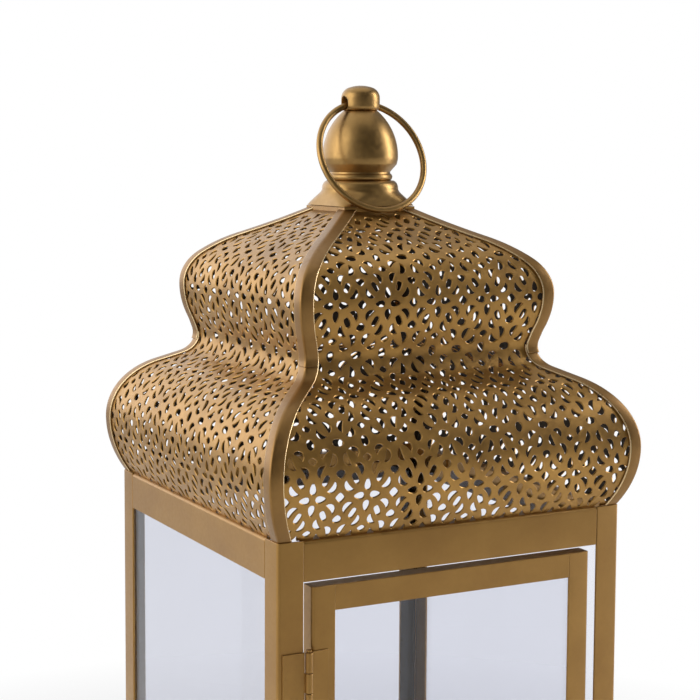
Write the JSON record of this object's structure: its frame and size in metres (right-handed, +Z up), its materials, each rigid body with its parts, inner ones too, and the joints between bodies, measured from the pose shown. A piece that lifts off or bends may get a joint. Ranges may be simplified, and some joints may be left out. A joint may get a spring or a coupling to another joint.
{
  "type": "candle lantern",
  "caption": "Square glazed candle lantern with a hinged front door, a pierced double-bulged roof, a turned finial and a swinging ring handle.",
  "frame": {"origin": "centre of the base, at the underside of the foot pads", "axes": "+Z up, the door faces -Y, its hinges are on the -X side"},
  "size_m": [0.216, 0.216, 0.5026],
  "materials": {
    "frame_gold": "satin antique gold on sheet steel",
    "pierced_gold": "satin antique gold, pierced, with bright hole edges",
    "finial_gold": "satin antique gold, turned, with soft highlights",
    "hardware_gold": "satin antique gold, lightly worn at the edges",
    "clear_glass": "clear float glass",
    "plated_steel": "plain zinc plated",
    "foot_rubber": "matt black"
  },
  "bodies": {
    "lantern": {"post_front_left": "frame_gold", "post_front_right": "frame_gold", "post_back_left": "frame_gold", "post_back_right": "frame_gold", "top_rail_front": "frame_gold", "top_rail_right": "frame_gold", "top_rail_back": "frame_gold", "top_rail_left": "frame_gold", "bottom_rail_front": "frame_gold", "bottom_rail_right": "frame_gold", "bottom_rail_back": "frame_gold", "bottom_rail_left": "frame_gold", "floor_plate": "frame_gold", "foot_pads": "foot_rubber", "glass_left": "clear_glass", "glass_right": "clear_glass", "glass_back": "clear_glass", "pane_clips": "frame_gold", "door_stop": "frame_gold", "hinge_upper_frame_leaf": "hardware_gold", "hinge_lower_frame_leaf": "hardware_gold", "hinge_upper_pin": "hardware_gold", "hinge_lower_pin": "hardware_gold", "keeper_stud": "hardware_gold", "roof_panel_front": "pierced_gold", "roof_panel_right": "pierced_gold", "roof_panel_back": "pierced_gold", "roof_panel_left": "pierced_gold", "rib_upper_front_left": "frame_gold", "rib_upper_front_right": "frame_gold", "rib_upper_back_left": "frame_gold", "rib_upper_back_right": "frame_gold", "rib_lower_front_left": "frame_gold", "rib_lower_front_right": "frame_gold", "rib_lower_back_left": "frame_gold", "rib_lower_back_right": "frame_gold", "roof_collar": "frame_gold", "finial_strap": "frame_gold", "finial_spacer": "frame_gold", "finial_stud": "plated_steel", "finial_nut": "plated_steel", "finial_skirt": "finial_gold", "finial_bulb": "finial_gold", "finial_knob": "finial_gold"},
    "door": {"door_stile_left": "frame_gold", "door_stile_right": "frame_gold", "door_rail_top": "frame_gold", "door_rail_bottom": "frame_gold", "door_glass": "clear_glass", "door_clips": "frame_gold", "hinge_upper_door_leaf": "hardware_gold", "hinge_lower_door_leaf": "hardware_gold", "latch_rivet": "hardware_gold"},
    "latch": {"latch_hook": "hardware_gold"},
    "ring": {"ring_handle": "finial_gold"}
  },
  "joints": [
    {"name": "door_swing", "type": "hinge", "parent": "lantern", "child": "door", "pos_m": [-0.0837, -0.1012, 0.143], "axis": [0, 0, 1], "range_deg": [-170, 0]},
    {"name": "latch_swing", "type": "hinge", "parent": "door", "child": "latch", "pos_m": [0.0751, -0.101, 0.143], "axis": [0, -1, 0], "range_deg": [0, 100]},
    {"name": "ring_swing", "type": "hinge", "parent": "lantern", "child": "ring", "pos_m": [0, 0, 0.49293], "axis": [1, 0, 0], "range_deg": [-310, 0]}
  ]
}
